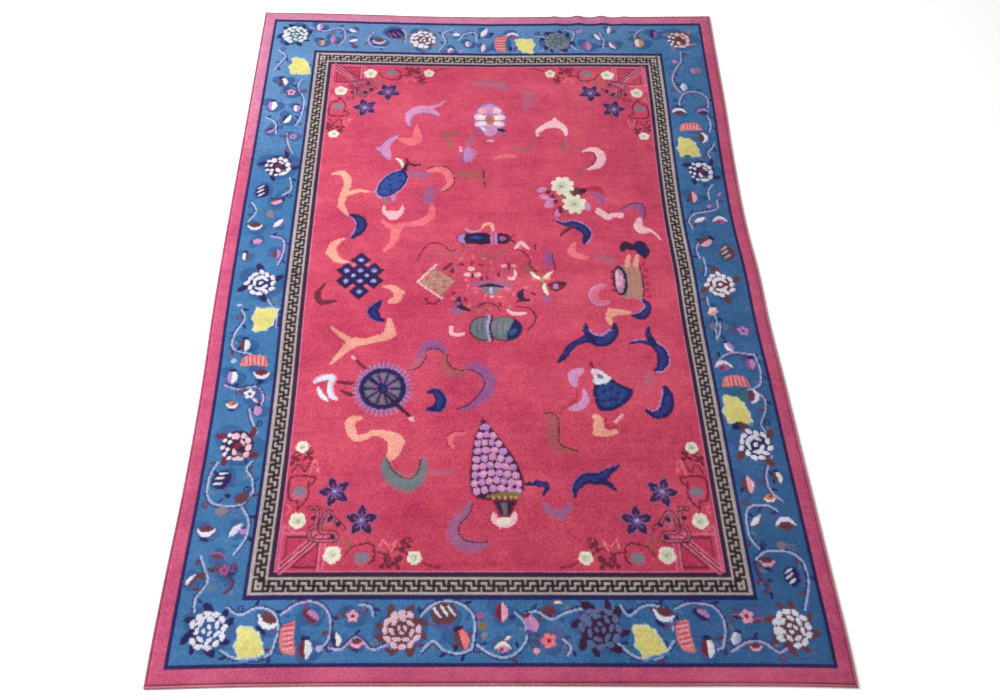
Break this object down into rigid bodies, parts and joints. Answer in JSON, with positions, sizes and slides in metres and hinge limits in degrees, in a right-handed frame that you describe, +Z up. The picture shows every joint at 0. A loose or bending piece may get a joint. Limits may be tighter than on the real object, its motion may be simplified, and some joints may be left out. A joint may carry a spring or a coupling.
{
  "type": "rug",
  "caption": "Flat hand-knotted wool rug with a rose field of scattered emblems, a key fret and a wide blue peony border, overcast at its sides and ends.",
  "frame": {"origin": "on the floor under the middle of the rug", "axes": "+X to the right across the width, +Y along the length to the far end, +Z up out of the pile"},
  "size_m": [1.8301, 2.5996, 0.0121],
  "materials": {
    "knotted_pile": "dense wool pile in rose, blue, navy, ivory and many small colours, matt with a soft sheen",
    "side_overcasting": "tightly wrapped wool over a cotton cord, matt",
    "end_overcasting": "overcast wool over the turned cotton web, matt and a little lumpy"
  },
  "bodies": {
    "root": {"rug_pile": "knotted_pile", "side_cord_left": "side_overcasting", "side_cord_right": "side_overcasting", "end_cord_near": "end_overcasting", "end_cord_far": "end_overcasting"}
  },
  "joints": []
}
